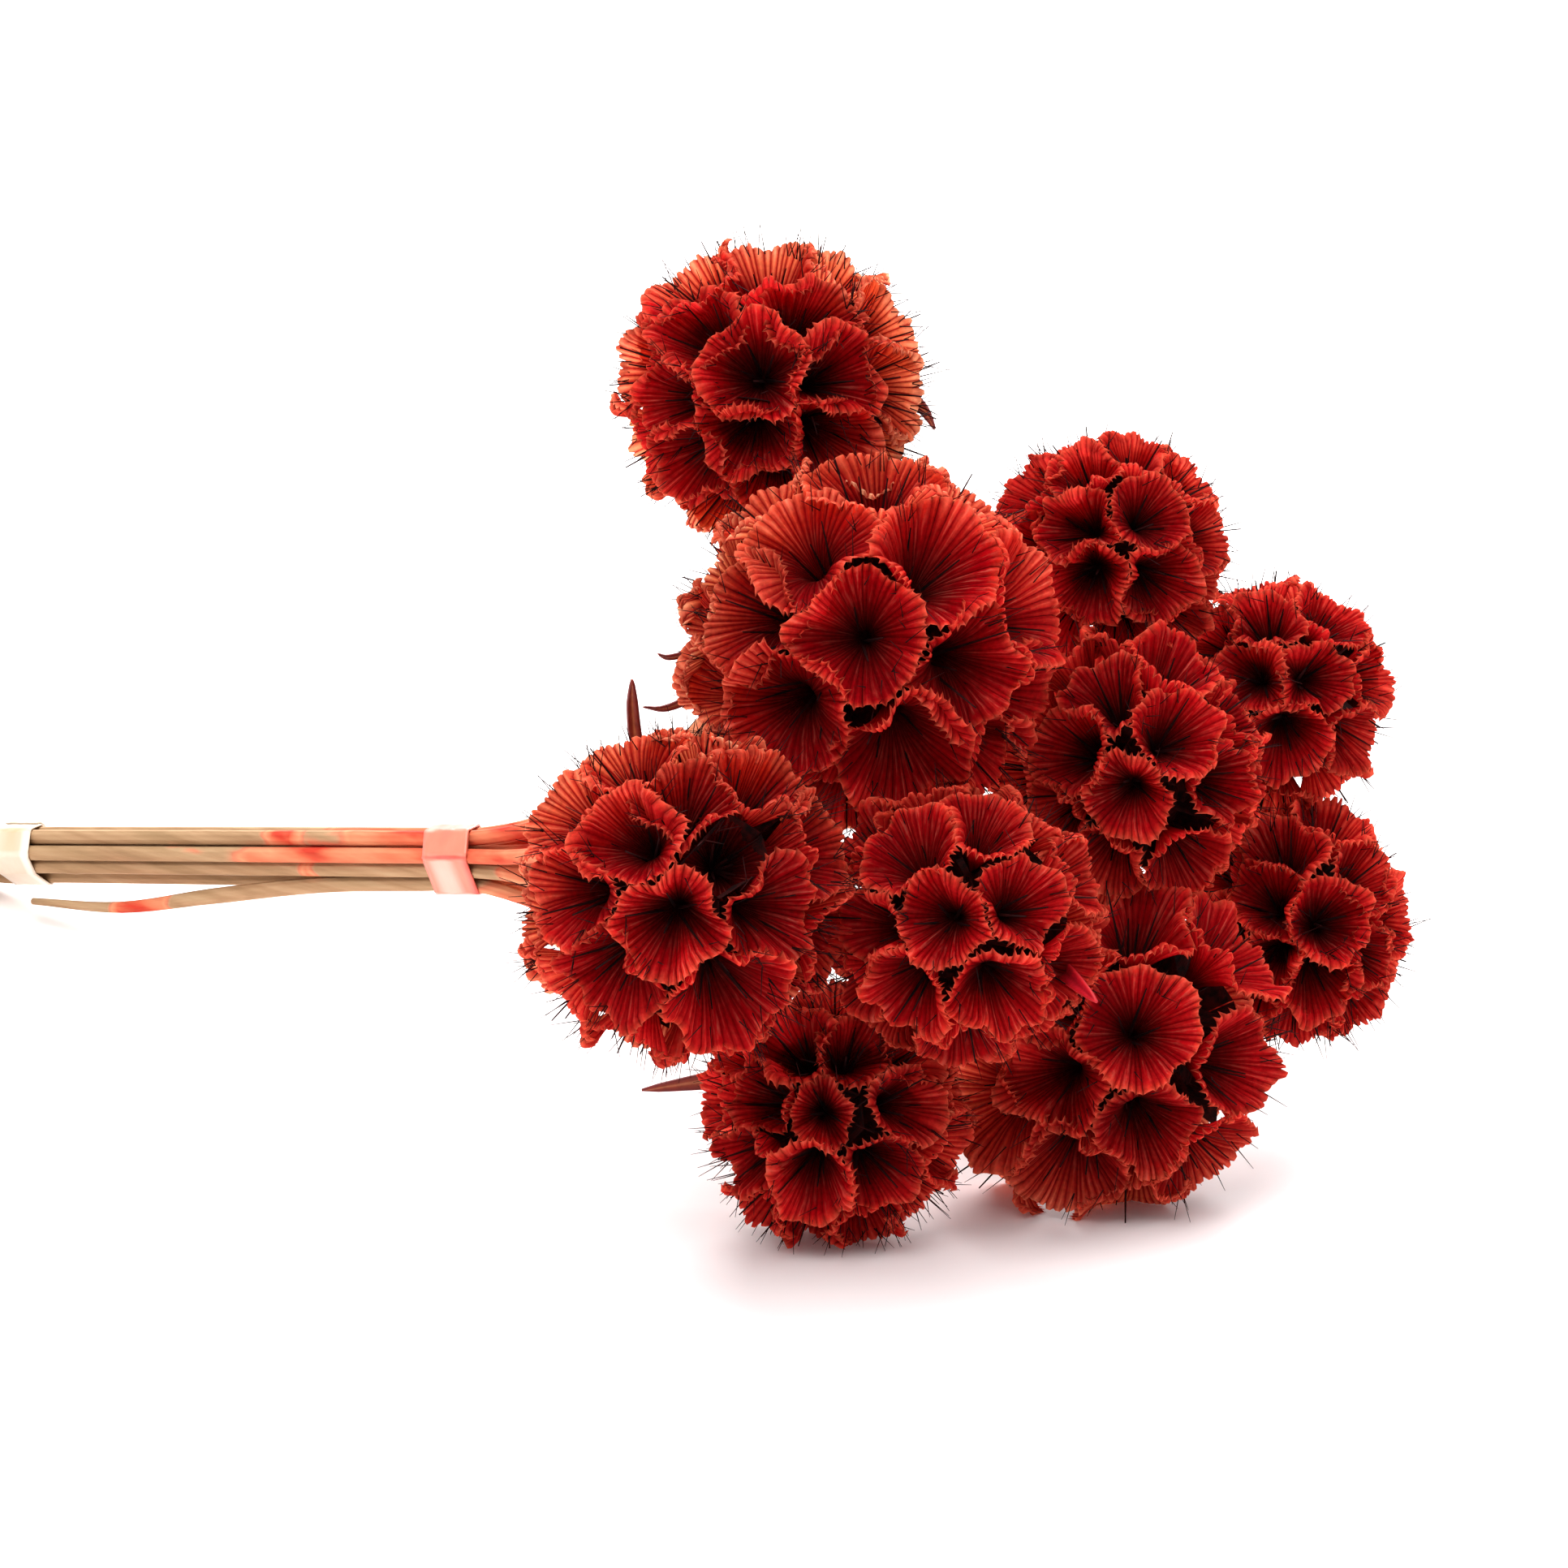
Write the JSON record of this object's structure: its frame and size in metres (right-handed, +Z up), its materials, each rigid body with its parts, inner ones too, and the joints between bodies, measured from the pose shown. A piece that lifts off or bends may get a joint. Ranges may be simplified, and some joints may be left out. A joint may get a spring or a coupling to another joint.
{
  "type": "dried starflower scabiosa bunch",
  "caption": "Tied bunch of dried red starflower scabiosa seed heads, balls of papery funnel-shaped florets on thin straw stems bound with tape, lying on its side.",
  "frame": {"origin": "on the surface that the bunch lies on, under the middle of its box", "axes": "+X along the stems towards the heads, +Z up from the surface"},
  "size_m": [0.398, 0.135, 0.1148],
  "materials": {
    "floret_red": "matte",
    "stem_straw": "matte",
    "tape_pink": "satin",
    "tape_white": "satin"
  },
  "bodies": {
    "root": {"head_01": "floret_red", "head_02": "floret_red", "head_03": "floret_red", "head_04": "floret_red", "head_05": "floret_red", "head_06": "floret_red", "head_07": "floret_red", "head_08": "floret_red", "head_09": "floret_red", "head_10": "floret_red", "stem_01": "stem_straw", "stem_02": "stem_straw", "stem_03": "stem_straw", "stem_04": "stem_straw", "stem_05": "stem_straw", "stem_06": "stem_straw", "stem_07": "stem_straw", "stem_08": "stem_straw", "stem_09": "stem_straw", "stem_10": "stem_straw", "tie_front": "tape_pink", "tie_back": "tape_white"}
  },
  "joints": []
}
